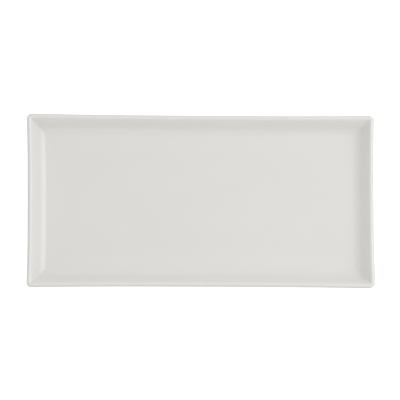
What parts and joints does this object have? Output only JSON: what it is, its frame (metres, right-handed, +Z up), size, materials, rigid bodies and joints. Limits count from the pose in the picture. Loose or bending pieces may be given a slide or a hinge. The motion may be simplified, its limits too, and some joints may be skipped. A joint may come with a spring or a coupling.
{
  "type": "serving platter",
  "caption": "Rectangular glazed china serving platter with a flat well, sloped walls meeting in mitred corners, a rounded rim and a dry foot ring.",
  "frame": {"origin": "centre of the footprint, on the surface that the foot ring stands on", "axes": "+X along the long side, +Y along the short side, +Z up out of the well"},
  "size_m": [0.355, 0.177, 0.022],
  "materials": {
    "biscuit": "bare fired porcelain, matte and very slightly gritty",
    "white_glaze": "smooth gloss glaze, warm white"
  },
  "bodies": {
    "root": {"porcelain_body": "biscuit", "glaze_face_coat": "white_glaze", "glaze_base_coat": "white_glaze"}
  },
  "joints": []
}
